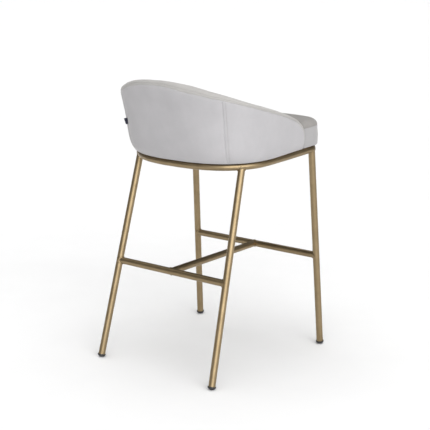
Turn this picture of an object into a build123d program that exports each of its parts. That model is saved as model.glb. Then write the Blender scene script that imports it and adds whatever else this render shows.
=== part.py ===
from build123d import *
import os
from math import cos, hypot, radians, sin

# Bar stool with a footrest: an upholstered tub seat on a welded frame of round tube.
# Millimetres. +Z is up, the floor is z = 0 and the front of the stool faces -Y.
# "left" and "right" are the sitter's: left is +X. The origin is on the floor, midway between the feet.

# ---------------------------------------------------------------- driving dimensions
TUBE = 22.0  # outside diameter of every frame tube
WALL = 1.5  # tube wall
WELD = 2.2  # leg of a weld bead

SEAT_LEVEL = 663.0  # centre of the seat ring above the floor, at y = 0
SEAT_PITCH = 2.34  # degrees that the ring and seat drop towards the rear

RING_HALF_WIDTH = 240.0  # ring centre line, where its rear curve starts
RING_FRONT_HALF = 243.5  # ring centre line, at the front corners
RING_REAR = 168.5  # ring centre line, rearmost
RING_FRONT = -268.5  # ring centre line, front bar
RING_CORNER = 55.0
RING_VENT = 6.0  # hole under the front bar that lets the tube breathe
CURVE_START = -27.0  # where the rear curve of ring and tub starts
CURVE_POWER = 2.5  # squareness of the rear curve: 2 is an ellipse

REAR_FOOT = (230.6, 277.6)
FRONT_FOOT = (260.5, -275.7)
REAR_LEG_TOP_Y = 96.5
FRONT_LEG_TOP_Y = -227.0
RAIL_LEVEL = 313.0  # rear rail, footrest rail and the centre rail between them
COPE_LIP = 3.0  # a coped tube stops this far before the other tube's axis

GLIDE_RIM = 26.0  # diameter of a glide's rim
GLIDE_RIM_TOP = 10.5  # rim's upper face, along the leg's axis from the floor
GLIDE_DOME_CENTRE = 15.0
GLIDE_WEAR = 0.6  # depth of the worn flat on the dome
GLIDE_STEM = 18.8
GLIDE_STEM_TOP = 34.0

# Heights below are in the seat's own tilted frame, above the plane of the ring's centre line.
UNDERSIDE = 12.0
DUST_COVER = 0.8
BOARD_TOP = 27.0
FOAM_TOP = 92.0
SEAT_TOP = 94.0
SEAM_HEIGHT = 75.0  # seam between the seat's boxing and its top cover
SEAT_HALF_WIDTH = 253.0  # in front of the arms
SEAT_FRONT = -287.5
SEAT_CORNER = 55.0
SEAT_SHOULDER = -171.0  # the seat is full width in front of this line
SEAT_EDGE = 18.0  # rounding of the top edge

# The tub's plan at five heights: (height, half width, rearmost point).
TUB_SECTIONS = ((12, 255.5, 182), (32, 265.5, 194), (90, 273.5, 208), (170, 279.5, 222.5), (285, 286.5, 239))
TUB_TAPER = 5.0  # the arms draw in by this much at the front
TUB_OPEN_FRONT = -300.0
COVER = 3.0  # outer cover and its wadding
SHELL = (3.4, 13.0)  # depth below the outer face: outside and inside of the moulded shell
PAD = (13.4, 38.0)
LINING = (38.3, 40.3)
SEAT_CLEARANCE = 42.0  # the seat's foam starts this deep inside the tub
BOARD_CLEARANCE = 13.6

# Side view of the rim, (y, height): the seam of the outer cover, and the crest of the border above it.
RIM_SEAM = ((260, 272), (240, 250), (211, 227), (194, 218), (110, 186), (-6, 147),
            (-76, 122), (-122, 98), (-145, 70), (-158, 8))
RIM_CREST = ((260, 294), (240, 272), (211, 248), (194, 238), (110, 202), (-6, 161),
             (-76, 136), (-128, 110), (-155, 78), (-168, 8))
SEAM_APEX = -270.0  # the two upright seams lie in upright planes through this point of the centre line
SEAM_FOOT = (176.0, 124.0)

BRACKET_ALONG = 30.0
BRACKET_THICKNESS = 3.0
BRACKET_REACH = 38.0  # how far a bracket reaches in from the ring's centre line
BRACKET_Y = (60.0, -196.0)
SCREW = 6.0
SCREW_HEAD = (11.0, 3.4)
WASHER = (14.0, 6.6, 1.4)
TEE_NUT = (19.0, 8.0, 6.2, 10.0)  # flange, barrel, thread, barrel length
SHELL_SCREW = (4.0, 7.5, 22.0)  # shank, head, length
SHELL_SCREW_HEIGHT = 19.5
SHELL_SCREW_SIDE = 251.9  # outer face of the heads at the sides
SHELL_SCREW_REAR = 175.2  # and at the rear
HEAD_DEPTH = 2.2

LABEL = (12.0, 20.0, 1.6)  # how far it stands out, height, thickness
LABEL_HEIGHT = 114.0

FAR = 500.0  # larger than the stool: for cutting tools
SEAT = Location((0, 0, SEAT_LEVEL), (-SEAT_PITCH, 0, 0))
SIDES = (("left", 1), ("right", -1))


# ---------------------------------------------------------------- helpers
def save(name, shape):
    """Write one node; a list of shapes becomes a group of separate solids."""
    solids = [s for part in (shape if isinstance(shape, list) else [shape]) for s in part.solids()]
    result = solids[0] if len(solids) == 1 else Compound(children=solids)
    result.label = name
    export_step(result, f"parts/{name}.step")


def rod(start, end, radius):
    """Solid cylinder between two points."""
    start, end = Vector(*start), Vector(*end)
    axis = Plane(origin=start, z_dir=end - start)
    return axis * Cylinder(radius, (end - start).length, align=(Align.CENTER, Align.CENTER, Align.MIN))


def tube(start, end):
    """Hollow cylinder between two points."""
    return rod(start, end, TUBE / 2) - rod(start, end, TUBE / 2 - WALL)


def along(start, end, distance):
    """The point this far from start towards end."""
    start, end = Vector(*start), Vector(*end)
    return tuple(start + (end - start).normalized() * distance)


def slab(low, high, y_low=-FAR, y_high=FAR, x_half=FAR):
    """Everything between two heights."""
    box = Box(2 * x_half, y_high - y_low, high - low, align=(Align.CENTER, Align.MIN, Align.MIN))
    return Pos(0, y_low, low) * box


def half_curve(half_width, rear, front_half, front, steps=6):
    """Left half of a plan: a superellipse round the rear that runs on into a nearly straight side."""
    points = [(0, rear)]
    for step in range(1, steps):
        turn = radians(90 * step / steps)
        x = half_width * sin(turn) ** (2 / CURVE_POWER)
        y = CURVE_START + (rear - CURVE_START) * cos(turn) ** (2 / CURVE_POWER)
        points.append((x, y))
    points += [(half_width, CURVE_START), (front_half, front)]
    return Spline(*points, tangents=((1, 0), (0, -1)))


def ring_half_width(y):
    """Half width of the ring's centre line."""
    if y < CURVE_START:
        run = (CURVE_START - y) / (CURVE_START - RING_FRONT - RING_CORNER)
        return RING_HALF_WIDTH + (RING_FRONT_HALF - RING_HALF_WIDTH) * min(run, 1)
    part = ((y - CURVE_START) / (RING_REAR - CURVE_START)) ** CURVE_POWER
    return RING_HALF_WIDTH * (1 - part) ** (1 / CURVE_POWER)


def on_ring(side, y):
    """Point of the ring's centre line, above the floor."""
    pitch = radians(SEAT_PITCH)
    return (side * ring_half_width(y), y * cos(pitch), SEAT_LEVEL - y * sin(pitch))


# ---------------------------------------------------------------- frame
def ring_core(radius):
    """Solid of this radius round the ring's centre line, in the seat's frame."""
    corner_x, corner_y = RING_FRONT_HALF - RING_CORNER, RING_FRONT + RING_CORNER
    half = Wire([
        half_curve(RING_HALF_WIDTH, RING_REAR, RING_FRONT_HALF, corner_y),
        CenterArc((corner_x, corner_y), RING_CORNER, 0, -90),
        Line((corner_x, RING_FRONT), (0, RING_FRONT)),
    ])
    section = Plane(origin=half @ 0, z_dir=half % 0) * Circle(radius)
    left = sweep(section, path=half)
    return left + mirror(left, about=Plane.YZ)


def leg_ends(side, foot, top_y):
    """Where a leg's axis meets the floor and the ring's centre line."""
    return (side * foot[0], foot[1], 0.0), on_ring(side, top_y)


def at_rail(leg):
    """Where a leg's axis meets the level of the rails."""
    floor, top = leg
    part = RAIL_LEVEL / top[2]
    return tuple(f + (t - f) * part for f, t in zip(floor, top))


def coped_tube(start, end, others):
    """Tube between two other tubes' axes, with both ends shaped to fit round them."""
    length = (Vector(*end) - Vector(*start)).length
    body = tube(along(start, end, COPE_LIP), along(start, end, length - COPE_LIP))
    for other in others:
        body -= other
    return max(body.solids(), key=lambda solid: solid.volume)


def bead(branch, branch_wide, main, main_wide):
    """Weld bead in the corner all round where a branch tube meets a main tube."""
    return (branch_wide & main_wide) - branch - main


def build_frame():
    radius = TUBE / 2
    ring = SEAT * ring_core(radius)
    ring_wide = SEAT * ring_core(radius + WELD)
    vent = SEAT * Pos(0, RING_FRONT, -radius) * Cylinder(RING_VENT / 2, 2 * WALL + 2)
    save("seat_ring", ring - SEAT * ring_core(radius - WALL) - vent)

    legs = {}
    beads = []
    for end, foot, top_y in (("rear", REAR_FOOT, REAR_LEG_TOP_Y), ("front", FRONT_FOOT, FRONT_LEG_TOP_Y)):
        for side_name, side in SIDES:
            floor, top = leg_ends(side, foot, top_y)
            length = (Vector(*top) - Vector(*floor)).length
            start, stop = along(floor, top, GLIDE_RIM_TOP), along(floor, top, length - COPE_LIP)
            leg = max((tube(start, stop) - ring).solids(), key=lambda solid: solid.volume)
            save(f"leg_{end}_{side_name}", leg)
            beads.append(bead(rod(start, top, radius), rod(start, top, radius + WELD), ring, ring_wide))
            save(f"glide_{end}_{side_name}", glide(floor, top))
            legs[end, side] = (floor, top)
    save("ring_welds", beads)

    middles = {}
    for end, name in (("rear", "rear_rail"), ("front", "footrest_rail")):
        start, stop = (at_rail(legs[end, side]) for side in (1, -1))
        posts = [rod(*legs[end, side], radius) for side in (1, -1)]
        posts_wide = [rod(*legs[end, side], radius + WELD) for side in (1, -1)]
        save(name, coped_tube(start, stop, posts))
        rail, rail_wide = rod(start, stop, radius), rod(start, stop, radius + WELD)
        save(f"{name}_welds", [bead(rail, rail_wide, p, w) for p, w in zip(posts, posts_wide)])
        middles[end] = ((0.0, start[1], RAIL_LEVEL), rail, rail_wide)

    rear, rear_rail, rear_wide = middles["rear"]
    front, front_rail, front_wide = middles["front"]
    save("centre_rail", coped_tube(rear, front, [rear_rail, front_rail]))
    rail, rail_wide = rod(rear, front, radius), rod(rear, front, radius + WELD)
    save("centre_rail_welds", [bead(rail, rail_wide, rear_rail, rear_wide),
                               bead(rail, rail_wide, front_rail, front_wide)])


def glide(floor, top):
    """Domed plastic glide: a stem pressed into the leg, a rim, and a dome worn flat where it stands."""
    lean = (Vector(*top) - Vector(*floor)).normalized()
    dome_radius = GLIDE_DOME_CENTRE * lean.Z + GLIDE_WEAR
    head = rod(along(floor, top, -GLIDE_DOME_CENTRE), along(floor, top, GLIDE_RIM_TOP), GLIDE_RIM / 2)
    dome = Pos(*along(floor, top, GLIDE_DOME_CENTRE)) * Sphere(dome_radius)
    stem = rod(along(floor, top, GLIDE_RIM_TOP - 1), along(floor, top, GLIDE_STEM_TOP), GLIDE_STEM / 2)
    return ((head & dome) & slab(0, FAR)) + stem


# ---------------------------------------------------------------- tub and seat, in the seat's frame
def tub_block(depth):
    """Filled form of the tub, this deep below its outer face, running on past the open front."""
    sections = []
    for height, half_width, rear in TUB_SECTIONS:
        half, back = half_width - depth, rear - depth
        left = half_curve(half, back, half - TUB_TAPER, TUB_OPEN_FRONT)
        right = mirror(left, about=Plane.YZ)
        sections.append(Pos(0, 0, height) * make_face([left, right, Line(left @ 1, right @ 1)]))
    return loft(sections)


def below_rim(profile):
    """Everything below and behind the rim's side view."""
    curve = Spline(*profile)
    face = make_face([curve, Polyline(curve @ 1, (FAR, profile[-1][1]), (FAR, profile[0][1]), curve @ 0)])
    return Pos(-FAR, 0, 0) * extrude(Plane.YZ * face, 2 * FAR)


def seat_form(tub_depth, front_inset, low, high):
    """Seat shape: as wide as the stool in front of the arms, and stepped in to pass between them."""
    half = SEAT_HALF_WIDTH - front_inset
    front = SEAT_FRONT + front_inset
    shoulder = SEAT_SHOULDER - front_inset
    rear_part = tub_block(tub_depth) & slab(low, high, y_low=shoulder - 1)
    plan = Pos(0, (front + shoulder) / 2) * Rectangle(2 * half, shoulder - front)
    plan = fillet(plan.vertices().sort_by(Axis.Y)[:2], SEAT_CORNER - front_inset)
    return rear_part + Pos(0, 0, low) * extrude(plan, high - low)


def crowned(form):
    """The form with its top edge rounded."""
    return fillet(form.faces().sort_by(Axis.Z)[-1].edges(), SEAT_EDGE)


def seam_wedge():
    """Everything between the two upright seams."""
    reach = 3
    x, y = SEAM_FOOT[0] * reach, SEAM_APEX + (SEAM_FOOT[1] - SEAM_APEX) * reach
    return extrude(make_face(Polyline((0, SEAM_APEX), (x, y), (-x, y), close=True)), FAR)


def build_tub():
    outer = tub_block(0)
    seam_line, crest_line = below_rim(RIM_SEAM), below_rim(RIM_CREST)
    above_board = slab(BOARD_TOP + 0.5, FAR)
    lining_back = tub_block(LINING[1])

    cover = (outer - tub_block(COVER)) & seam_line
    wedge = seam_wedge()
    save("outer_back_panel", SEAT * (cover & wedge))
    for side_name, side in SIDES:
        half_space = Pos(side * FAR / 2, 0, 0) * Box(FAR, 2 * FAR, 2 * FAR)
        save(f"outer_side_panel_{side_name}", SEAT * ((cover - wedge) & half_space))

    shell = (tub_block(SHELL[0]) - tub_block(SHELL[1])) & seam_line
    for screw in shell_screws(sink=10):
        shell -= screw
    save("back_shell", SEAT * shell)
    save("shell_screws", [SEAT * screw for screw in shell_screws()])
    save("back_foam", SEAT * ((tub_block(PAD[0]) - tub_block(PAD[1])) & seam_line & above_board))
    save("back_lining", SEAT * ((tub_block(LINING[0]) - lining_back) & seam_line & above_board))
    board_space = tub_block(SHELL[1]) & slab(0, BOARD_TOP + 0.5)
    save("rim_border", SEAT * (((outer - lining_back) & crest_line) - seam_line - board_space))
    save("label_tab", SEAT * label_tab())


def label_tab():
    """Small blank tab folded into the left upright seam."""
    out, tall, thick = LABEL
    x, y = SEAM_FOOT
    run = hypot(x, y - SEAM_APEX)
    plane = Plane(origin=(x, y, LABEL_HEIGHT), x_dir=(x / run, (y - SEAM_APEX) / run, 0), z_dir=(0, 0, 1))
    strip = plane * Box(10 * out, thick, tall)
    grown = tub_block(-out)
    return max(((strip & grown) - tub_block(0)).solids(), key=lambda solid: solid.volume)


def seat_holes(diameter):
    """Upright cylinders at the four seat brackets."""
    return [
        Pos(side * (ring_half_width(y) - BRACKET_REACH * 0.62), y, 0) * Cylinder(diameter / 2, 2 * FAR)
        for y in BRACKET_Y for _, side in SIDES
    ]


def build_seat():
    top = crowned(seat_form(SEAT_CLEARANCE, 0, BOARD_TOP + 0.5, SEAT_TOP))
    core = crowned(seat_form(SEAT_CLEARANCE + 2, 2, BOARD_TOP, FOAM_TOP))
    save("seat_foam", SEAT * (core & slab(BOARD_TOP + 0.5, FOAM_TOP)))
    skin = top - core
    save("seat_top_cover", SEAT * (skin & slab(SEAM_HEIGHT, SEAT_TOP)))
    skirt = seat_form(SEAT_CLEARANCE, 0, UNDERSIDE, BOARD_TOP + 1) - seat_form(SEAT_CLEARANCE, 2, 0, 40)
    board = seat_form(BOARD_CLEARANCE, 3, UNDERSIDE, BOARD_TOP)
    skirt = (skirt & slab(UNDERSIDE, BOARD_TOP + 0.5, y_high=SEAT_SHOULDER)) - board
    save("seat_boxing", SEAT * ((skin & slab(BOARD_TOP + 0.5, SEAM_HEIGHT)) + skirt))

    dust = Pos(0, 0, -DUST_COVER) * seat_form(BOARD_CLEARANCE + 4, 6, UNDERSIDE, UNDERSIDE + DUST_COVER)
    for hole in seat_holes(diameter=TEE_NUT[1]):
        board -= hole
        dust -= hole
    for screw in shell_screws():
        board -= screw
    save("seat_board", SEAT * board)
    save("dust_cover", SEAT * dust)
    build_seat_fixings()


def build_seat_fixings():
    """Brackets on the ring, and the screws, washers and tee nuts that hold the seat down."""
    top = TUBE / 2 - 0.2
    bottom = top - BRACKET_THICKNESS
    ring = ring_core(TUBE / 2)
    flange, barrel, thread, barrel_length = TEE_NUT
    head, head_height = SCREW_HEAD
    washer_out, washer_in, washer_thickness = WASHER
    screws, washers, nuts = [], [], []
    for end, y in zip(("rear", "front"), BRACKET_Y):
        for side_name, side in SIDES:
            x = side * (ring_half_width(y) - BRACKET_REACH * 0.62)
            plate = Pos(side * (ring_half_width(y) - BRACKET_REACH / 2), y, (top + bottom) / 2)
            plate *= Box(BRACKET_REACH, BRACKET_ALONG, BRACKET_THICKNESS)
            plate = fillet(plate.edges().filter_by(Axis.Z), 4) - ring
            plate = max(plate.solids(), key=lambda solid: solid.volume)
            save(f"seat_bracket_{end}_{side_name}", SEAT * (plate - Pos(x, y, 0) * Cylinder(SCREW / 2 + 0.4, FAR)))
            washer_bottom = bottom - washer_thickness
            washers.append(SEAT * (drum(x, y, washer_bottom, bottom, washer_out)
                                   - drum(x, y, washer_bottom, bottom, washer_in)))
            screw = drum(x, y, washer_bottom, BOARD_TOP - 3, SCREW)
            screws.append(SEAT * (screw + drum(x, y, washer_bottom - head_height, washer_bottom, head)))
            nut = drum(x, y, BOARD_TOP - barrel_length, BOARD_TOP, barrel - 0.2)
            nut += drum(x, y, BOARD_TOP, BOARD_TOP + 0.4, flange)
            nuts.append(SEAT * (nut - drum(x, y, 0, FAR, thread)))
    save("seat_screws", screws)
    save("seat_washers", washers)
    save("tee_nuts", nuts)


def drum(x, y, low, high, diameter):
    """Upright cylinder between two heights."""
    return Pos(x, y, low) * Cylinder(diameter / 2, high - low, align=(Align.CENTER, Align.CENTER, Align.MIN))


def shell_screws(sink=0):
    """Wood screws through the shell into the edge of the seat board; sink lengthens each head outwards."""
    shank, head, length = SHELL_SCREW
    height = SHELL_SCREW_HEIGHT
    starts = [((side * SHELL_SCREW_SIDE, y, height), (-side, 0)) for side in (-1, 1) for y in (-130.0, -20.0)]
    starts += [((x, SHELL_SCREW_REAR, height), (0, -1)) for x in (-90.0, 90.0)]
    solids = []
    for start, (in_x, in_y) in starts:
        def inward(distance):
            return start[0] + in_x * distance, start[1] + in_y * distance, height
        solids.append(rod(start, inward(length), shank / 2) + rod(inward(-sink), inward(HEAD_DEPTH), head / 2))
    return solids


os.makedirs("parts", exist_ok=True)
build_frame()
build_tub()
build_seat()
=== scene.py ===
from math import pi, radians

import bmesh
import bpy
import numpy as np
from mathutils import Matrix, Vector, noise
from mathutils.bvhtree import BVHTree


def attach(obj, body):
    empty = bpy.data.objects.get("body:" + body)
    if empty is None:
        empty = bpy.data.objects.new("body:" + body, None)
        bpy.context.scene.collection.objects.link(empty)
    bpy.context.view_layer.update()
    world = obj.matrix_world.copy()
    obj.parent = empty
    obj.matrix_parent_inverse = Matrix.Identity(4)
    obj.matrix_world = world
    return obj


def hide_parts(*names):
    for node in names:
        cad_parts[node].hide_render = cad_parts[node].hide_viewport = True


# Bar stool with a footrest. Metres; +Z is up, the front faces -Y and +X is the sitter's left.

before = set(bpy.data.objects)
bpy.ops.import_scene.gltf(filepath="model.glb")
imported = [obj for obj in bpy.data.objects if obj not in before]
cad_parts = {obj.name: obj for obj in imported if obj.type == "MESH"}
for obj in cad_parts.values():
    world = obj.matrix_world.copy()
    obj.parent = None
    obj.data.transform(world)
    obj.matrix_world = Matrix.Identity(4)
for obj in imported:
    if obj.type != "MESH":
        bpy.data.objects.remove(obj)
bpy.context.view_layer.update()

# ---------------------------------------------------------------- sizes
# The seat's own frame is tilted about X, with its origin at the centre of the seat ring. The sizes
# below are in that frame. Depths are measured inwards from the outer face of the tub.
SEAT_LEVEL = 0.663  # the frame's origin above the floor
SEAT_PITCH = radians(2.34)

# Tub: a superellipse round the rear that runs on into two arms
CURVE_START = -0.027  # y at which the arms start
CURVE_POWER = 2.5
TUB_OPEN_FRONT = -0.300  # y at turn 2, beyond the arms' tips
TUB_TAPER = 0.005  # how far each side face closes in on the way there
TUB_SECTIONS = (  # height, half width, rear
    (0.010, 0.2540, 0.1803), (0.032, 0.2655, 0.1940), (0.060, 0.2713, 0.2028),
    (0.090, 0.2735, 0.2080), (0.130, 0.2756, 0.2142), (0.170, 0.2795, 0.2225),
    (0.230, 0.2858, 0.2374), (0.260, 0.2873, 0.2408), (0.285, 0.2865, 0.2390))
PAD_DEPTH = 0.0136  # where the padding on the inside of the shell starts
LINING_DEPTH = 0.0403  # inner face of the padded wall
BOARD_TOP = 0.0276

# Seams of the tub
RIM_SEAM = (  # y and height of the cover's upper seam, from the rear to an arm's foot
    (0.260, 0.272), (0.240, 0.250), (0.211, 0.227), (0.194, 0.218), (0.110, 0.186),
    (-0.006, 0.147), (-0.076, 0.122), (-0.122, 0.098), (-0.145, 0.070), (-0.158, 0.008))
RIM_RISE = (  # y and height from there to the crest of the border
    (0, 0.028), (0, 0.028), (0, 0.0275), (0, 0.025), (0, 0.0165),
    (0, 0.0145), (0, 0.0135), (-0.006, 0.0105), (-0.012, 0.007), (-0.0155, 0))
DRIFT_X, DRIFT_WIDTH, DRIFT_DROP = -0.100, 0.055, 0.0062  # dip in the rim's seam, at the rear
ARM_TIP_LEVEL = 0.014  # height at which the arms end
SEAM_APEX = -0.270  # the upright seams lie in planes through this point of the centre line
SEAM_FOOT = (0.176, 0.124)  # x and y of a point on the left one
TOPSTITCH = 0.009  # stitch line's distance from its seam
FINE = (0, 0.0003, 0.0007, 0.0012, 0.0018, 0.0026, 0.0036, 0.0048, 0.0062,
        0.0076, 0.0084, 0.009, 0.0096, 0.0104, 0.012)  # close rows, by their distance from a seam

# Outer cover
COVER_SPACING = 0.006
COVER_ROWS = 25  # below the close ones
COVER_FOOT = 0.0155
SHORT_COLUMN = 0.05  # under this height, the close rows of a column crowd together
SEAM_GROOVE, SEAM_REACH = 0.0013, 0.0018  # depth and reach of the dip along the cover's seams
STITCH_GROOVE, STITCH_REACH = 0.0006, 0.0009  # the same beside an upright seam
COVER_FILL, FILL_REACH = 0.0009, 0.018  # the fabric stands out where the seams don't hold it
SEAM_TENSION, TENSION_REACH = 0.0005, 0.006
COVER_WAVES = ((0.09, 0.0007, 0), (0.03, 0.00022, 5))  # size, height and seed of its unevenness
WAVE_REACH = 0.012
HEM = ((0.0004, 0.0139), (0.0013, 0.0127), (0.0026, 0.0120), (0.0045, 0.01175),
       (0.009, 0.0117), (0.0172, 0.0117))  # depth and height, where the fabric turns under
TUCK = ((0.0045, 0.0006), (0.003, 0.0004))  # depth and rise, where it turns in at the rim's seam
SEAM_ALLOWANCE = 0.0025  # how deep it turns in at an upright seam
FABRIC_THICKNESS = 0.0007

# Rim border
BORDER_SPACING = 0.0055
BORDER_TUCK, TUCK_REACH = 0.0027, 0.02  # the strip turns in at the cover's seam; reach is a phase
BORDER_INNER = 0.95  # how full the border is towards the lining
BORDER_STITCH = 0.10  # phase of the stitch line
BORDER_PHASES = (0, 0.006, 0.013, 0.022, 0.04, 0.06, 0.08, 0.09, BORDER_STITCH, 0.11, 0.12,
                 *np.linspace(0.14, 1, 36))
BORDER_GROOVE, GROOVE_REACH = 0.0010, 0.015  # dip along the stitch line; reach is a phase
BORDER_WAVES = ((0.045, 0.0007, 0), (0.018, 0.00025, 5))
BORDER_SEED = 3.0
FOOT_DROP = 0.0018  # the border runs on down past the cover's foot at the arms' tips

# Back pad
PAD_ENDS = 1.93  # the pad and the rim's stitches stop here; 2 is an arm's tip
PAD_SPACING = 0.007
PAD_SQUARENESS = 0.22
PAD_LAP = 0.003  # pressed up into the border
PAD_FOOT = BOARD_TOP + 0.001
PAD_LEAST = 0.007  # height that the pad keeps towards the arms' tips
PAD_SLACK = 0.0012  # between the pad's plain form and the faces of the wall
PAD_PRESS = ((0.09, 0.13), (0.0008, 0.005))  # heights, and how far the pad may swell there

# Seat
SEAT_SEAM = 0.075
SEAT_TOP = 0.094
SEAT_CROWN = 0.0075  # how far the top rises from its edge to its middle
SEAT_EDGE = 0.023  # width of the rounded edge
SEAT_HALF_WIDTH = 0.253
SEAT_FRONT = -0.2875
SEAT_CORNER = 0.055
SEAT_SHOULDER = -0.171  # y at which the seat narrows to pass between the arms
SHOULDER_RADII = ((0.030, 0.045), (0.004, 0.015))  # heights and radii: close round the board
SEAT_THROAT = 0.006  # radius where the shoulder meets the arm
SEAT_DEPTH = 0.042  # the seat's side inside the tub
SEAT_SPINE = (-0.250, -0.030)  # y of the ends of the line that the top and the base close in on
BASE_ROWS = ((0.0028, 0.0262), (0.0027, 0.020), (0.0026, 0.0135), (0.0020, 0.0124),
             (0.0011, 0.0121), (0.0003, 0.0127), (0.0, 0.0138))  # inset and height, lip round the board
BASE_CLOSING = (0.97, 0.75, 0.5, 0.25)  # parts of the way in to the spine
BOXING_BULGE = 0.0015
ROLL_ROWS = 6  # close rows above the seam, before the rounded edge
ROLL_ANGLES = (3, 80)  # degrees of the rounded edge
TOP_CLOSING = (0.04, 0.09, 0.15, 0.22, 0.3, 0.39, 0.48, 0.58, 0.68, 0.78, 0.88, 0.96)
CROWN_POWER = 2.5
SEAT_GROOVE, SEAT_REACH = 0.0014, 0.0011  # dip along the seam between boxing and top
BOXING_GROOVE, BOXING_REACH = 0.0003, 0.0007  # and along the stitch line below it
SEAT_PRESS = ((0.075, 0.09), (0.0015, 0.006))  # heights, and how far the seat may swell there

# Label
LABEL_LEVEL = 0.114
LABEL_LENGTH, LABEL_HEIGHT, LABEL_THICKNESS = 0.0120, 0.020, 0.0014
LABEL_SECTION = ((-0.004, 0.35), (0, 0.5), (0.25, 0.62), (0.6, 0.66), (0.85, 0.62), (0.96, 0.42),
                 (1.0, 0.0))  # parts of the length and of the thickness
LABEL_REACH, LABEL_FLARE = 0.80, 0.34  # it stands out further at the top than at the bottom
LABEL_CURL, LABEL_SAG = 0.0006, 0.0008

# Thread
STITCH_PITCH, STITCH_LENGTH, THREAD_RADIUS = 0.0042, 0.0032, 0.00038
STITCH_SECTIONS = ((-0.5, 0.25), (-0.4, 0.8), (-0.15, 1.0), (0.15, 1.0), (0.4, 0.8), (0.5, 0.25))
THREAD_SIDES = 6
STITCH_LIFT, STITCH_ARCH = 0.00012, 0.0012  # the middle stands out; the ends dip into the fabric


# ---------------------------------------------------------------- meshes
def to_row(points):
    """Seat frame to the frame that the whole stool shares."""
    turned = Matrix.Translation((0, 0, SEAT_LEVEL)) @ Matrix.Rotation(-SEAT_PITCH, 4, "X")
    matrix = np.array(turned)
    points = np.asarray(points, float).reshape(-1, 3)
    return points @ matrix[:3, :3].T + matrix[:3, 3]


def mesh_object(name, points, faces):
    data = bpy.data.meshes.new(name)
    data.from_pydata([tuple(p) for p in points], [], faces)
    data.update()
    obj = bpy.data.objects.new(name, data)
    bpy.context.scene.collection.objects.link(obj)
    edit = bmesh.new()
    edit.from_mesh(data)
    bmesh.ops.remove_doubles(edit, verts=edit.verts, dist=0.00002)
    bmesh.ops.recalc_face_normals(edit, faces=edit.faces)
    for face in edit.faces:
        face.smooth = True
    edit.to_mesh(data)
    edit.free()
    return obj


def grid_faces(columns, rows, closed_columns=False, closed_rows=False):
    """Quads between the points of a grid stored column by column."""
    faces = []
    for i in range(columns if closed_columns else columns - 1):
        j = (i + 1) % columns
        for k in range(rows if closed_rows else rows - 1):
            m = (k + 1) % rows
            faces.append((i * rows + k, j * rows + k, j * rows + m, i * rows + m))
    return faces


def bar_faces(sections, points_each):
    """Faces of a closed bar: a grid of closed sections with a flat cap at either end."""
    faces = grid_faces(sections, points_each, closed_rows=True)
    faces.append(tuple(range(points_each)))
    faces.append(tuple(points_each * (sections - 1) + k for k in range(points_each))[::-1])
    return faces


def apply_modifiers(obj):
    graph = bpy.context.evaluated_depsgraph_get()
    data = bpy.data.meshes.new_from_object(obj.evaluated_get(graph), depsgraph=graph)
    obj.modifiers.clear()
    obj.data = data


def coordinates(obj):
    flat = np.empty(len(obj.data.vertices) * 3)
    obj.data.vertices.foreach_get("co", flat)
    return flat.reshape(-1, 3)


def smooth_curve(points, steps=30):
    """Dense points of a Catmull-Rom curve through the given ones."""
    points = np.array(points, float)
    ends = np.vstack([2 * points[0] - points[1], points, 2 * points[-1] - points[-2]])
    curve = []
    for a, b, c, d in zip(ends, ends[1:], ends[2:], ends[3:]):
        for t in np.linspace(0, 1, steps, endpoint=False):
            curve.append(0.5 * (2 * b + (c - a) * t + (2 * a - 5 * b + 4 * c - d) * t * t
                                + (3 * b - a - 3 * c + d) * t ** 3))
    return np.array([*curve, points[-1]])


def run_lengths(line):
    """Distance of each point from the start of the line."""
    steps = np.linalg.norm(np.diff(line, axis=0), axis=1)
    return np.concatenate([[0], np.cumsum(steps)])


def bell(offset, width):
    return np.exp(-(offset / width) ** 2)


def fade(distance, width):
    return np.exp(-distance / width)


def signed_power(values, power):
    return np.sign(values) * abs(values) ** power


def unevenness(points, waves, seed):
    """Smooth, repeatable noise at each point. A wave is a size, a height and a shift of the seed."""
    total = np.zeros(len(points))
    for size, amount, shift in waves:
        key = seed + shift
        offset = Vector((key, 2 * key, 3 * key))
        total += [amount * noise.noise(Vector(p) / size + offset) for p in points]
    return total


# ---------------------------------------------------------------- form of the tub
PROFILE = smooth_curve(TUB_SECTIONS)
RIM = smooth_curve([(*seam, *rise) for seam, rise in zip(RIM_SEAM[::-1], RIM_RISE[::-1])])


def seam_drift(x):
    """The rim's seam is sewn a little lower on one side of the rear."""
    return -DRIFT_DROP * bell(x - DRIFT_X, DRIFT_WIDTH)


def rim_height(points):
    """Height of the rim's seam where it passes these points."""
    return np.interp(points[..., 1], RIM[:, 0], RIM[:, 1]) + seam_drift(points[..., 0])


def rim_rise(points):
    """From the seam to the crest of the border."""
    x, y = points[..., 0], points[..., 1]
    up = np.interp(y, RIM[:, 0], RIM[:, 3]) - seam_drift(x)
    return np.stack([0 * y, np.interp(y, RIM[:, 0], RIM[:, 2]), up], -1)


def tub(turn, z, depth=0.0):
    """Points of the tub; turn is 0 at the rear, 1 where an arm starts and 2 at TUB_OPEN_FRONT."""
    turn, z = np.broadcast_arrays(np.asarray(turn, float), np.asarray(z, float))
    half = np.interp(z, PROFILE[:, 0], PROFILE[:, 1]) - depth
    rear = np.interp(z, PROFILE[:, 0], PROFILE[:, 2]) - depth
    angle = np.clip(abs(turn), 0, 1) * pi / 2
    beyond = np.clip(abs(turn) - 1, 0, None)
    x = half * np.sin(angle) ** (2 / CURVE_POWER) - TUB_TAPER * beyond
    y = CURVE_START + (rear - CURVE_START) * np.cos(angle).clip(0) ** (2 / CURVE_POWER)
    return np.stack([np.sign(turn) * x, y - beyond * (CURVE_START - TUB_OPEN_FRONT), z], -1)


def arm_turn(y):
    """Turn at which an arm passes this y."""
    return 1 + (CURVE_START - y) / (CURVE_START - TUB_OPEN_FRONT)


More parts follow.
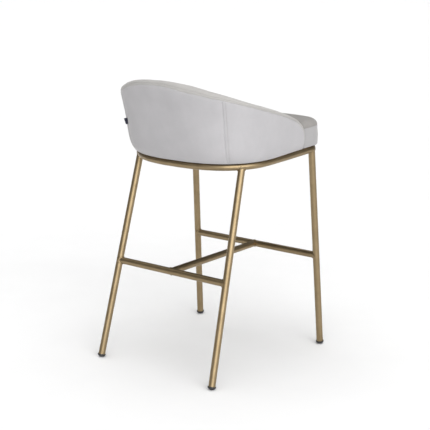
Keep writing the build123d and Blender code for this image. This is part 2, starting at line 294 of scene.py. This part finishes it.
def upright_seam_turns():
    """Turn of the upright seam, as a function of height."""
    slope = (SEAM_FOOT[1] - SEAM_APEX) / SEAM_FOOT[0]
    turns = np.linspace(0.2, 1.0, 1601)
    table = []
    for z in np.linspace(0, 0.3, 61):
        points = tub(turns, z)
        off_plane = abs(points[:, 1] - SEAM_APEX - slope * points[:, 0])
        table.append((z, turns[np.argmin(off_plane)]))
    fit = np.polyfit(*np.array(table).T, 5)
    return lambda z: np.polyval(fit, z)


seam_turn = upright_seam_turns()
ARM_TIP = arm_turn(np.interp(ARM_TIP_LEVEL, RIM[:, 1], RIM[:, 0]))


def cover_turn(across, z):
    """Turn of a column of the cover: across runs -1..1 over the back and 1..2 along an arm."""
    seam, part = seam_turn(z), abs(np.asarray(across, float))
    on_arm = seam + (ARM_TIP - seam) * (part - 1)
    return np.sign(across) * np.where(part <= 1, part * seam, on_arm)


def column_top(across, depth=0.0):
    """Height at which a column meets the rim's seam, found by halving."""
    low, high = np.full_like(across, 0.004), np.full_like(across, TUB_SECTIONS[-1][0])
    for _ in range(40):
        middle = (low + high) / 2
        under = middle < rim_height(tub(cover_turn(across, middle), middle, depth))
        low, high = np.where(under, middle, low), np.where(under, high, middle)
    return (low + high) / 2


def columns_along_rim(start, stop, spacing, fine_ends=(False, False)):
    """Positions of columns spaced evenly along the rim, closer together at ends that are seams."""
    dense = np.linspace(start, stop, 1600)
    top = column_top(dense)
    run = run_lengths(tub(cover_turn(dense, top), top))
    low, high = (FINE[-1] if end else 0.0 for end in fine_ends)
    places = list(np.linspace(low, run[-1] - high, int(run[-1] / spacing)))
    if fine_ends[0]:
        places = [*FINE[:-1], *places]
    if fine_ends[1]:
        places += [run[-1] - d for d in FINE[-2::-1]]
    return np.interp(places, run, dense)


# ---------------------------------------------------------------- outer cover
def sunk_column(points, depth):
    """A column just inside another, towards the tub's middle."""
    inward = np.array([0, CURVE_START, 0]) - points
    inward[:, 2] = 0
    inward /= np.linalg.norm(inward, axis=1)[:, None]
    return (points + inward * depth)[:, None]


def cover_panel(name, start, stop, fine_ends, seed):
    """Fabric over the shell, pulled in along its seams and folded under the shell's lower edge."""
    across = columns_along_rim(start, stop, COVER_SPACING, fine_ends)
    top = column_top(across)
    height = top - COVER_FOOT
    shrink = np.clip(height / SHORT_COLUMN, 0.02, 1)
    rows = [d * shrink for d in FINE]  # distances below the rim's seam
    last = rows[-1]
    for part in np.linspace(0, 1, COVER_ROWS + 1)[1:]:
        rows.append(last + part * (height - last))
    below = np.array(rows)
    z = top - below
    base = tub(cover_turn(across, z), z)

    step = np.linalg.norm(np.diff(base, axis=1), axis=2)
    from_start = np.concatenate([np.zeros((len(rows), 1)), np.cumsum(step, axis=1)], 1)
    to_end = from_start[:, -1:] - from_start
    edge = below  # distance from the nearest seam
    if fine_ends[0]:
        edge = np.minimum(edge, from_start)
    if fine_ends[1]:
        edge = np.minimum(edge, to_end)
    puff = -SEAM_GROOVE * fade(edge, SEAM_REACH)
    if fine_ends != (True, True):  # a side panel is stitched down beside its upright seam
        from_seam = from_start if fine_ends[0] else to_end
        puff -= STITCH_GROOVE * bell(from_seam - TOPSTITCH, STITCH_REACH)
    puff += COVER_FILL * (1 - fade(edge, FILL_REACH)) - SEAM_TENSION * fade(edge, TENSION_REACH)
    waves = unevenness(base.reshape(-1, 3), COVER_WAVES, seed)
    puff += waves.reshape(z.shape) * (1 - fade(edge, WAVE_REACH))
    surface = tub(cover_turn(across, z), z, -puff)

    hem = [tub(cover_turn(across, z[-1]), np.full_like(top, level), depth) for depth, level in HEM]
    tuck = [tub(cover_turn(across, z[0]), z[0] + rise, depth) for depth, rise in TUCK]
    grid = np.stack([*tuck, *surface, *hem])  # rows, columns, xyz
    if fine_ends[0]:
        grid = np.concatenate([sunk_column(grid[:, 0], SEAM_ALLOWANCE), grid], 1)
    if fine_ends[1]:
        grid = np.concatenate([grid, sunk_column(grid[:, -1], SEAM_ALLOWANCE)], 1)
    n_rows, n_columns = grid.shape[:2]
    points = to_row(grid.transpose(1, 0, 2))
    obj = mesh_object(name, points, grid_faces(n_columns, n_rows))
    thick = obj.modifiers.new("Thickness", "SOLIDIFY")
    thick.thickness, thick.offset = FABRIC_THICKNESS, -1
    apply_modifiers(obj)
    return obj


# ---------------------------------------------------------------- rim border
def border_surface(across, phases):
    """Padded strip over the tub's edge, its outward directions, and its outer and inner edges.

    A phase is 0 at the cover's seam, 0.5 on the crest and 1 at the lining.
    """
    outer_z, inner_z = column_top(across), column_top(across, LINING_DEPTH)
    outer = tub(cover_turn(across, outer_z), outer_z, 0.0004)
    inner = tub(cover_turn(across, inner_z), inner_z, LINING_DEPTH)
    rise_out, rise_in = rim_rise(outer), rim_rise(inner)
    width = np.linalg.norm(inner - outer, axis=1)[:, None]
    sections = []
    for phase in phases:
        part = 0.5 - 0.5 * np.cos(pi * phase)
        rise = rise_out * (1 - part) + rise_in * part * BORDER_INNER
        sunk = BORDER_TUCK * fade(phase, TUCK_REACH) / width
        sections.append(outer + (inner - outer) * (part + sunk) + rise * np.sin(pi * phase))
    grid = np.stack(sections, 1)  # columns, section, xyz
    out = grid - ((outer + inner) / 2)[:, None]
    out /= np.linalg.norm(out, axis=2)[..., None]
    soft = unevenness(grid.reshape(-1, 3), BORDER_WAVES, BORDER_SEED).reshape(grid.shape[:2])
    soft -= BORDER_GROOVE * bell(np.array(phases) - BORDER_STITCH, GROOVE_REACH)
    return grid + out * soft[..., None], out, outer, inner


def rim_border():
    """The border as a closed form, with flat ends at the arms' feet."""
    across = columns_along_rim(-2, 2, BORDER_SPACING)
    grid, _, outer, inner = border_surface(across, BORDER_PHASES)
    parts = np.linspace(1, 0, 8)[1:-1]
    base = [outer + (inner - outer) * part - (0, 0, 0.0005) for part in parts]
    grid = np.concatenate([grid, np.stack(base, 1)], 1)
    drop = (0, 0, FOOT_DROP)
    grid = np.concatenate([grid[:1] - drop, grid, grid[-1:] - drop])
    return mesh_object("rim_border_soft", to_row(grid), bar_faces(*grid.shape[:2]))


# ---------------------------------------------------------------- back pad
def back_pad():
    """Padding and lining on the inside of the tub, behind the seat."""
    across = columns_along_rim(-PAD_ENDS, PAD_ENDS, PAD_SPACING)
    top = column_top(across, LINING_DEPTH) + PAD_LAP
    low = np.minimum(PAD_FOOT, top - PAD_LEAST)
    inner, thick = LINING_DEPTH - PAD_SLACK, LINING_DEPTH - PAD_DEPTH - PAD_SLACK
    loops = []
    for phase in np.linspace(0, 2 * pi, 64, endpoint=False):
        part = 0.5 + 0.5 * signed_power(np.cos(phase), PAD_SQUARENESS)
        rise = 0.5 + 0.5 * signed_power(np.sin(phase), PAD_SQUARENESS)
        z = low + (top - low) * rise
        loops.append(tub(cover_turn(across, z), z, inner - thick * (1 - part)))
    grid = np.stack(loops, 1)
    return mesh_object("back_pad", to_row(grid), bar_faces(*grid.shape[:2]))


# ---------------------------------------------------------------- seat
def arc(centre, radius, start, stop, count):
    angles = np.radians(np.linspace(start, stop, count))
    return [(centre[0] + radius * np.cos(a), centre[1] + radius * np.sin(a)) for a in angles]


def seat_outline(z, inset=0.0):
    """Half outline at one height: front centre, corner, side, shoulder, round inside the tub."""
    half, corner, throat = SEAT_HALF_WIDTH, SEAT_CORNER, SEAT_THROAT
    shoulder = float(np.interp(z, *SHOULDER_RADII))
    wall = float(tub(arm_turn(SEAT_SHOULDER), z, SEAT_DEPTH)[0])
    points = [(x, SEAT_FRONT) for x in np.linspace(0, half - corner, 24)]
    points += arc((half - corner, SEAT_FRONT + corner), corner, -90, 0, 22)[1:]
    points += [(half, y) for y in np.linspace(SEAT_FRONT + corner, SEAT_SHOULDER - shoulder, 12)[1:]]
    points += arc((half - shoulder, SEAT_SHOULDER - shoulder), shoulder, 0, 90, 8)[1:]
    points += arc((wall + throat, SEAT_SHOULDER + throat), throat, 270, 180, 6)
    turns = np.linspace(float(arm_turn(SEAT_SHOULDER + throat)), 0, 52)[1:]
    points += [(p[0], p[1]) for p in tub(turns, z, SEAT_DEPTH)]
    points = np.array(points)
    if inset:
        ahead = np.vstack([points[1:], points[-1] + (points[-1] - points[-2])])
        behind = np.vstack([points[0] - (points[1] - points[0]), points[:-1]])
        along = ahead - behind
        along /= np.linalg.norm(along, axis=1)[:, None]
        along[0], along[-1] = (1, 0), (-1, 0)
        points = points + inset * np.stack([-along[:, 1], along[:, 0]], -1)
    return points


def seat_cushion():
    """Closed seat: a lip round the board, boxing up to the seam, a rounded edge and a crowned top."""
    rows = []
    front = seat_outline(SEAT_SEAM)[:, 1] < SEAT_SHOULDER + 0.003
    spine = np.linspace(*SEAT_SPINE, len(front))
    target = np.stack([0 * spine, spine], -1)

    def ring(inset, z, z_rear=None, towards=0.0):
        """One row: at z in front of the tub and at z_rear, but above the board, inside it."""
        z_rear = max(z if z_rear is None else z_rear, BOARD_TOP)
        plan = np.where(front[:, None], seat_outline(z, inset), seat_outline(z_rear, inset))
        plan = plan + (target - plan) * towards
        rows.append(np.column_stack([plan, np.where(front, z, z_rear)]))

    for towards in BASE_CLOSING:
        ring(0.004, BOARD_TOP, towards=towards)
    ring(0.0035, BOARD_TOP)
    for inset, z in BASE_ROWS:
        ring(inset, z, BOARD_TOP + 0.0002)

    side_foot, side_top = BASE_ROWS[-1][1], SEAT_SEAM - FINE[-1]
    for part in np.linspace(0, 1, 13)[1:]:
        z = side_foot + (side_top - side_foot) * part
        ring(-BOXING_BULGE * np.sin(pi * part), z, max(z, BOARD_TOP + 0.0004 * part))
    for d in FINE[-2::-1]:
        ring(0.0, SEAT_SEAM - d)
    for d in FINE[1:ROLL_ROWS + 1]:
        ring(0.0, SEAT_SEAM + d)

    edge_foot = SEAT_SEAM + FINE[ROLL_ROWS]
    for angle in np.radians(np.linspace(*ROLL_ANGLES, 13)):
        inset = SEAT_EDGE * (1 - np.cos(angle))
        z = edge_foot + (SEAT_TOP - 0.001 - edge_foot) * np.sin(angle)
        ring(inset, z)
    for towards in TOP_CLOSING:
        rise = SEAT_CROWN * (1 - (1 - towards) ** CROWN_POWER)
        ring(inset, z + rise, towards=towards)

    grid = np.stack(rows, 1)  # half outline columns, rows, xyz
    grid = np.concatenate([grid, grid[::-1][1:-1] * (-1, 1, 1)])
    n_columns, n_rows = grid.shape[:2]
    faces = grid_faces(n_columns, n_rows, closed_columns=True)
    faces.append(tuple(i * n_rows for i in range(n_columns)))
    faces.append(tuple(i * n_rows + n_rows - 1 for i in range(n_columns))[::-1])
    return mesh_object("seat_cushion", to_row(grid), faces)


def seat_height(points):
    """Height, in the seat's frame, of points in the shared one."""
    return points[:, 1] * np.sin(SEAT_PITCH) + (points[:, 2] - SEAT_LEVEL) * np.cos(SEAT_PITCH)


def pull_in_seam(obj):
    """Draws the cushion in along the seam between its boxing and its top."""
    data = obj.data
    normals = np.empty(len(data.vertices) * 3)
    data.vertices.foreach_get("normal", normals)
    normals = normals.reshape(-1, 3)
    points = coordinates(obj)
    height = seat_height(points) - SEAT_SEAM
    side = 1 - abs(normals[:, 2]).clip(0, 1)
    depth = SEAT_GROOVE * fade(abs(height), SEAT_REACH)
    depth += BOXING_GROOVE * bell(height + TOPSTITCH, BOXING_REACH)
    data.vertices.foreach_set("co", (points - normals * (depth * side)[:, None]).ravel())
    data.update()


# ---------------------------------------------------------------- pressure in the soft bodies
def simulated(obj, voxel, frames=20, pressure=4.0):
    """Copy of a closed form, blown up by cloth simulation, and where its points started."""
    copy = obj.copy()
    copy.data = obj.data.copy()
    copy.name = obj.name + "_pressed"
    bpy.context.scene.collection.objects.link(copy)
    remesh = copy.modifiers.new("Remesh", "REMESH")
    remesh.mode, remesh.voxel_size = "VOXEL", voxel
    apply_modifiers(copy)
    start = coordinates(copy)
    cloth = copy.modifiers.new("Cloth", "CLOTH")
    settings = cloth.settings
    settings.quality = 6
    settings.mass = 0.25
    settings.tension_stiffness = settings.compression_stiffness = 18
    settings.shear_stiffness = 8
    settings.bending_stiffness = 0.6
    settings.use_pressure = True
    settings.uniform_pressure_force = pressure
    settings.effector_weights.gravity = 0
    cloth.collision_settings.use_collision = False
    cloth.point_cache.frame_end = frames
    for step in range(1, frames + 1):
        bpy.context.scene.frame_set(step)
    apply_modifiers(copy)
    bpy.context.scene.frame_set(1)
    return copy, start


def press_out(obj, voxel, limits):
    """Moves obj's points as the simulated surface moves, at most as far as the limits allow."""
    pressed, start = simulated(obj, voxel)
    moved = coordinates(pressed) - start
    polygons = pressed.data.polygons
    tree = BVHTree.FromPolygons([tuple(p) for p in start], [tuple(f.vertices) for f in polygons])
    points = coordinates(obj)
    shift = np.zeros_like(points)
    for i, point in enumerate(points):
        _, _, index, _ = tree.find_nearest(Vector(point))
        corners = polygons[index].vertices
        near = np.array([1 / (np.linalg.norm(point - start[c]) + 1e-4) for c in corners])
        shift[i] = (moved[list(corners)] * near[:, None]).sum(0) / near.sum()
    length = np.linalg.norm(shift, axis=1)
    cap = np.interp(seat_height(points), *limits)
    shift *= (cap * np.tanh(length / np.maximum(cap, 1e-6)) / np.maximum(length, 1e-9))[:, None]
    obj.data.vertices.foreach_set("co", (points + shift).ravel())
    obj.data.update()
    bpy.data.objects.remove(pressed)


# ---------------------------------------------------------------- label and stitches
def label():
    """Blank woven tab, folded double, sewn into the left upright seam."""
    step = 0.005
    above, below = LABEL_LEVEL + step, LABEL_LEVEL - step
    lean = tub(float(seam_turn(above)), above) - tub(float(seam_turn(below)), below)
    lean /= 2 * step
    root = tub(float(seam_turn(LABEL_LEVEL)), LABEL_LEVEL)
    out = np.array([SEAM_FOOT[0], SEAM_FOOT[1] - SEAM_APEX, 0.0])
    out /= np.linalg.norm(out)
    across = np.array([-out[1], out[0], 0.0])
    loop = [(s * LABEL_LENGTH, t * LABEL_THICKNESS) for s, t in LABEL_SECTION]
    loop += [(distance, -side) for distance, side in loop[-2::-1]]
    levels = np.linspace(-0.5, 0.5, 11)
    grid = []
    for level in levels:
        for distance, side in loop:
            part = distance / LABEL_LENGTH
            curl = side + LABEL_CURL * np.sin(level * pi) * part
            reach = LABEL_REACH + LABEL_FLARE * level
            point = root + out * distance * reach + across * curl
            grid.append(point + lean * level * LABEL_HEIGHT - np.array([0, 0, LABEL_SAG * part]))
    return mesh_object("label_fold", to_row(grid), bar_faces(len(levels), len(loop)))


def at(place, run, line):
    """Point or direction at this distance along a line."""
    return np.array([np.interp(place, run, line[:, k]) for k in range(3)])


def stitches(name, paths):
    """Thread stitches, each a small rounded bar, along paths of (points, outward normals)."""
    points, faces = [], []
    for line, normals in paths:
        run = run_lengths(line)
        for place in np.arange(STITCH_PITCH, run[-1] - STITCH_PITCH, STITCH_PITCH):
            centre = at(place, run, line)
            ahead = at(place + 0.001, run, line) - centre
            ahead /= np.linalg.norm(ahead)
            up = at(place, run, normals)
            up /= np.linalg.norm(up)
            side = np.cross(ahead, up)
            first = len(points)
            for along, wide in STITCH_SECTIONS:
                arch = STITCH_LIFT - STITCH_ARCH * along * along
                middle = centre + ahead * along * STITCH_LENGTH + up * arch
                for k in range(THREAD_SIDES):
                    angle = k * 2 * pi / THREAD_SIDES
                    around = side * np.cos(angle) + up * np.sin(angle)
                    points.append(middle + THREAD_RADIUS * wide * around)
            for face in bar_faces(len(STITCH_SECTIONS), THREAD_SIDES):
                faces.append(tuple(first + k for k in face))
    return mesh_object(name, to_row(points), faces)


def border_stitches():
    """Line of stitches on the border, above its seam, and its outward directions."""
    across = columns_along_rim(-PAD_ENDS, PAD_ENDS, 0.004)
    surface, out, _, _ = border_surface(across, (BORDER_STITCH,))
    return surface[:, 0], out[:, 0]


def seam_stitches(side):
    """Line of stitches on a side panel, beside its upright seam, and its outward directions."""
    top = float(column_top(np.array([1.0 * side]))[0])
    z = np.linspace(0.016, top - 0.004, 60)
    turn = side * seam_turn(z)
    step = tub(turn + side * 0.01, z) - tub(turn, z)
    turn = turn + side * 0.01 * TOPSTITCH / np.linalg.norm(step, axis=1)
    return tub(turn, z, 0.0001), tub(turn, z, -0.001) - tub(turn, z)


# ---------------------------------------------------------------- materials
def material(name):
    made = bpy.data.materials.new(name)
    made.use_nodes = True
    nodes, links = made.node_tree.nodes, made.node_tree.links
    return made, nodes, links, nodes["Principled BSDF"]


def noise_node(nodes, links, scale, detail=2.0, rough=0.5, stretch=None):
    """Noise over the object's own coordinates."""
    place = nodes.new("ShaderNodeTexCoord")
    texture = nodes.new("ShaderNodeTexNoise")
    texture.inputs["Scale"].default_value = scale
    texture.inputs["Detail"].default_value = detail
    texture.inputs["Roughness"].default_value = rough
    source = place.outputs["Object"]
    if stretch:
        mapping = nodes.new("ShaderNodeMapping")
        mapping.inputs["Scale"].default_value = stretch
        links.new(source, mapping.inputs["Vector"])
        source = mapping.outputs["Vector"]
    links.new(source, texture.inputs["Vector"])
    return texture.outputs["Fac"]


def ramp(nodes, links, source, stops):
    """Colours between the positions given, (position, colour)."""
    made = nodes.new("ShaderNodeValToRGB")
    elements = made.color_ramp.elements
    for element, (place, colour) in zip(elements, (stops[0], stops[-1])):
        element.position, element.color = place, (*colour, 1)
    for place, colour in stops[1:-1]:
        elements.new(place).color = (*colour, 1)
    links.new(source, made.inputs["Fac"])
    return made.outputs["Color"]


def multiplied(nodes, links, first, second):
    made = nodes.new("ShaderNodeMix")
    made.data_type, made.blend_type = "RGBA", "MULTIPLY"
    made.inputs["Factor"].default_value = 1.0
    links.new(first, made.inputs["A"])
    links.new(second, made.inputs["B"])
    return made.outputs["Result"]


def bump(nodes, links, shader, sources):
    """Bumps on bumps: (height source, strength, distance)."""
    last = None
    for source, strength, distance in sources:
        made = nodes.new("ShaderNodeBump")
        made.inputs["Strength"].default_value = strength
        made.inputs["Distance"].default_value = distance
        links.new(source, made.inputs["Height"])
        if last:
            links.new(last, made.inputs["Normal"])
        last = made.outputs["Normal"]
    links.new(last, shader.inputs["Normal"])


def grey(value):
    return (value, value, value)


def velvet(name, light, dark, sheen=0.32):
    """Short-pile velvet: soft cloudy nap, fine pile grain and a pale sheen."""
    made, nodes, links, shader = material(name)
    cloud = ramp(nodes, links, noise_node(nodes, links, 16, 4, 0.55), ((0.32, dark), (0.68, light)))
    brushed = ramp(nodes, links, noise_node(nodes, links, 60, 3, 0.6, (1, 1, 0.35)),
                   ((0.3, grey(0.975)), (0.7, grey(1.0))))
    pile = ramp(nodes, links, noise_node(nodes, links, 1500, 2, 0.6),
                ((0.25, grey(0.88)), (0.75, grey(1.0))))
    colour = multiplied(nodes, links, cloud, brushed)
    colour = multiplied(nodes, links, colour, pile)
    links.new(colour, shader.inputs["Base Color"])
    shader.inputs["Roughness"].default_value = 0.88
    shader.inputs["Specular IOR Level"].default_value = 0.2
    shader.inputs["Sheen Weight"].default_value = sheen
    shader.inputs["Sheen Roughness"].default_value = 0.45
    shader.inputs["Sheen Tint"].default_value = (1.0, 0.985, 0.97, 1)
    bump(nodes, links, shader, ((noise_node(nodes, links, 1300, 2, 0.7), 0.22, 0.0005),
                                (noise_node(nodes, links, 110, 3, 0.6), 0.12, 0.0012)))
    return made


def brass(dark, light):
    """Satin antique brass plating."""
    made, nodes, links, shader = material("satin_antique_brass")
    tone = ramp(nodes, links, noise_node(nodes, links, 22, 4, 0.6), ((0.3, dark), (0.7, light)))
    grain = ramp(nodes, links, noise_node(nodes, links, 900, 2, 0.6),
                 ((0.3, grey(0.93)), (0.7, grey(1.0))))
    links.new(multiplied(nodes, links, tone, grain), shader.inputs["Base Color"])
    gloss = ramp(nodes, links, noise_node(nodes, links, 40, 4, 0.6),
                 ((0.3, grey(0.32)), (0.7, grey(0.40))))
    links.new(gloss, shader.inputs["Roughness"])
    shader.inputs["Metallic"].default_value = 1.0
    bump(nodes, links, shader, ((noise_node(nodes, links, 1400, 2, 0.6), 0.05, 0.0002),))
    return made


def matt(name, dark, light, scale, roughness, strength, distance, metallic=0.0):
    """Plain finish with a little grain; scale is the grain's, strength and distance its bump's."""
    made, nodes, links, shader = material(name)
    tone = ramp(nodes, links, noise_node(nodes, links, scale, 4, 0.6), ((0.3, dark), (0.7, light)))
    links.new(tone, shader.inputs["Base Color"])
    shader.inputs["Roughness"].default_value = roughness
    shader.inputs["Metallic"].default_value = metallic
    grain = noise_node(nodes, links, scale * 5, 2, 0.6)
    bump(nodes, links, shader, ((grain, strength, distance),))
    return made


def plywood(dark, light):
    made, nodes, links, shader = material("plywood")
    place = nodes.new("ShaderNodeTexCoord")
    grain = nodes.new("ShaderNodeTexWave")
    grain.inputs["Scale"].default_value = 40
    grain.inputs["Distortion"].default_value = 9
    grain.inputs["Detail"].default_value = 3
    links.new(place.outputs["Object"], grain.inputs["Vector"])
    tone = ramp(nodes, links, grain.outputs["Fac"], ((0.2, dark), (0.8, light)))
    links.new(tone, shader.inputs["Base Color"])
    shader.inputs["Roughness"].default_value = 0.7
    bump(nodes, links, shader, ((grain.outputs["Fac"], 0.1, 0.0004),))
    return made


def paint(obj, made):
    if not obj.data.materials:
        obj.data.materials.append(made)
    for k in range(len(obj.material_slots)):
        obj.material_slots[k].material = made


def keep(obj, made, slot, *nodes):
    """Finishes a new piece: material, body and the CAD nodes it stands for. The slot is not used."""
    paint(obj, made)
    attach(obj, "root")
    if nodes:
        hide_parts(*nodes)


# ---------------------------------------------------------------- build
cover_cloth = velvet("velvet_cover", (0.433, 0.424, 0.435), (0.404, 0.395, 0.406))
border_cloth = velvet("velvet_border", (0.412, 0.401, 0.389), (0.381, 0.370, 0.359))
# A darker copy of the cover's velvet for the seat's boxing: painted shade where it turns away from the
# light.
boxing_painted_shade_cloth = velvet("velvet_seat_side_painted_shade", (0.362, 0.355, 0.358), (0.338, 0.331, 0.334))
# A darker, less shiny copy for the seat's top: painted shade for the velvet's nap seen from above.
seat_top_painted_shade_cloth = velvet("velvet_seat_top_painted_shade", (0.285, 0.273, 0.262), (0.250, 0.240, 0.229), sheen=0.12)

for name, start, stop, fine_ends, node, seed in (
        ("cover_back", -1.0, 1.0, (True, True), "outer_back_panel", 1.0),
        ("cover_side_left", 1.0, 2.0, (True, False), "outer_side_panel_left", 2.0),
        ("cover_side_right", -2.0, -1.0, (False, True), "outer_side_panel_right", 4.0)):
    piece = cover_panel(name, start, stop, fine_ends, seed)
    keep(piece, cover_cloth, "upholstery", node)

border = rim_border()
keep(border, border_cloth, "upholstery", "rim_border")

pad = back_pad()
cushion = seat_cushion()
press_out(pad, 0.006, PAD_PRESS)
press_out(cushion, 0.005, SEAT_PRESS)
pull_in_seam(cushion)
keep(pad, cover_cloth, "upholstery", "back_foam", "back_lining")
keep(cushion, boxing_painted_shade_cloth, "upholstery", "seat_foam", "seat_top_cover", "seat_boxing")
# Faces above the seam take the top's darker copy: painted shade on the seat's top.
cushion.data.materials.append(seat_top_painted_shade_cloth)
levels = seat_height(np.array([p.center for p in cushion.data.polygons]))
cushion.data.polygons.foreach_set("material_index", (levels > SEAT_SEAM).astype(np.int32))

weave = matt("navy_label_weave", (0.012, 0.013, 0.028), (0.022, 0.023, 0.045),
             scale=1200, roughness=0.85, strength=0.4, distance=0.0003)
keep(label(), weave, "label_cloth", "label_tab")

thread = matt("thread", (0.22, 0.20, 0.19), (0.28, 0.26, 0.245),
              scale=1500, roughness=0.75, strength=0.3, distance=0.0002)
sewn = stitches("cover_stitches", [border_stitches(), seam_stitches(1), seam_stitches(-1)])
keep(sewn, thread, "upholstery")

metal = brass((0.26, 0.194, 0.110), (0.325, 0.246, 0.144))
plastic = matt("glide_plastic", (0.010, 0.010, 0.011), (0.020, 0.020, 0.021),
               scale=300, roughness=0.42, strength=0.2, distance=0.0002)
steel = matt("zinc_plated_steel", (0.42, 0.43, 0.42), (0.60, 0.60, 0.57),
             scale=120, roughness=0.35, strength=0.1, distance=0.0002, metallic=1.0)
lining = matt("black_non_woven", grey(0.010), grey(0.028),
              scale=700, roughness=0.9, strength=0.5, distance=0.0004)
wood = plywood((0.42, 0.27, 0.14), (0.56, 0.39, 0.22))
foam = matt("foam", (0.55, 0.50, 0.36), (0.68, 0.62, 0.46),
            scale=900, roughness=0.95, strength=0.5, distance=0.0006)
FINISHES = (  # the last two rows are CAD nodes under the new pieces
    (("seat_ring", "leg_", "rear_rail", "footrest_rail", "centre_rail", "ring_welds",
      "seat_bracket"), metal),
    (("glide_",), plastic),
    (("dust_cover",), lining),
    (("seat_board", "back_shell"), wood),
    (("seat_screws", "seat_washers", "tee_nuts", "shell_screws"), steel),
    (("back_foam", "seat_foam"), foam),
    (("outer_", "rim_border", "back_lining", "seat_top_cover", "seat_boxing"), cover_cloth),
)
for name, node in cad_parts.items():
    for starts, made in FINISHES:
        if name.startswith(starts):
            paint(node, made)

# ---------------------------------------------------------------- floor, light and camera
floor_mesh = bmesh.new()
bmesh.ops.create_grid(floor_mesh, x_segments=8, y_segments=8, size=60)
floor_data = bpy.data.meshes.new("floor")
floor_mesh.to_mesh(floor_data)
floor_mesh.free()
floor = bpy.data.objects.new("floor", floor_data)
bpy.context.scene.collection.objects.link(floor)
paint(floor, matt("floor_white", grey(0.91), grey(0.93),
                  scale=3, roughness=0.9, strength=0.0, distance=0.0001))


def sun(name, direction, angle, strength):
    """Soft light from far off, so that the floor is evenly lit."""
    data = bpy.data.lights.new(name, "SUN")
    data.angle, data.energy = radians(angle), strength
    obj = bpy.data.objects.new(name, data)
    bpy.context.scene.collection.objects.link(obj)
    obj.rotation_euler = Vector(direction).to_track_quat("Z", "Y").to_euler()


def studio(softbox, stops):
    """Surroundings that are brightest towards one side, like a room with a large softbox."""
    world = bpy.data.worlds.new("studio")
    world.use_nodes = True
    nodes, links = world.node_tree.nodes, world.node_tree.links
    place = nodes.new("ShaderNodeTexCoord")
    facing = nodes.new("ShaderNodeVectorMath")
    facing.operation = "DOT_PRODUCT"
    facing.inputs[1].default_value = Vector(softbox).normalized()
    scaled = nodes.new("ShaderNodeMapRange")
    scaled.inputs["From Min"].default_value = -1
    links.new(place.outputs["Generated"], facing.inputs[0])
    links.new(facing.outputs["Value"], scaled.inputs["Value"])
    sky = ramp(nodes, links, scaled.outputs["Result"], stops)
    links.new(sky, nodes["Background"].inputs["Color"])
    bpy.context.scene.world = world


SKY_STOPS = (  # 0 faces away from the softbox, 1 towards it
    (0.0, grey(0.16)), (0.55, grey(0.25)), (0.78, grey(0.50)), (0.93, grey(1.6)), (1.0, grey(1.8)))
studio((-0.76, 0.60, 0.18), SKY_STOPS)
sun("key", (-0.81, 0.51, 0.27), angle=66, strength=1.85)
sun("overhead", (0.04, -0.02, 1.0), angle=66, strength=1.48)

camera_data = bpy.data.cameras.new("camera")
camera_data.sensor_width = 36
camera_data.lens = 94.689
camera_data.clip_end = 200
camera = bpy.data.objects.new("camera", camera_data)
bpy.context.scene.collection.objects.link(camera)
camera.location = (-2.2310, 2.7922, 1.3126)
camera.rotation_euler = (radians(76.5772), 0, radians(-141.6935))
bpy.context.scene.camera = camera
bpy.context.scene.view_settings.view_transform = "Standard"
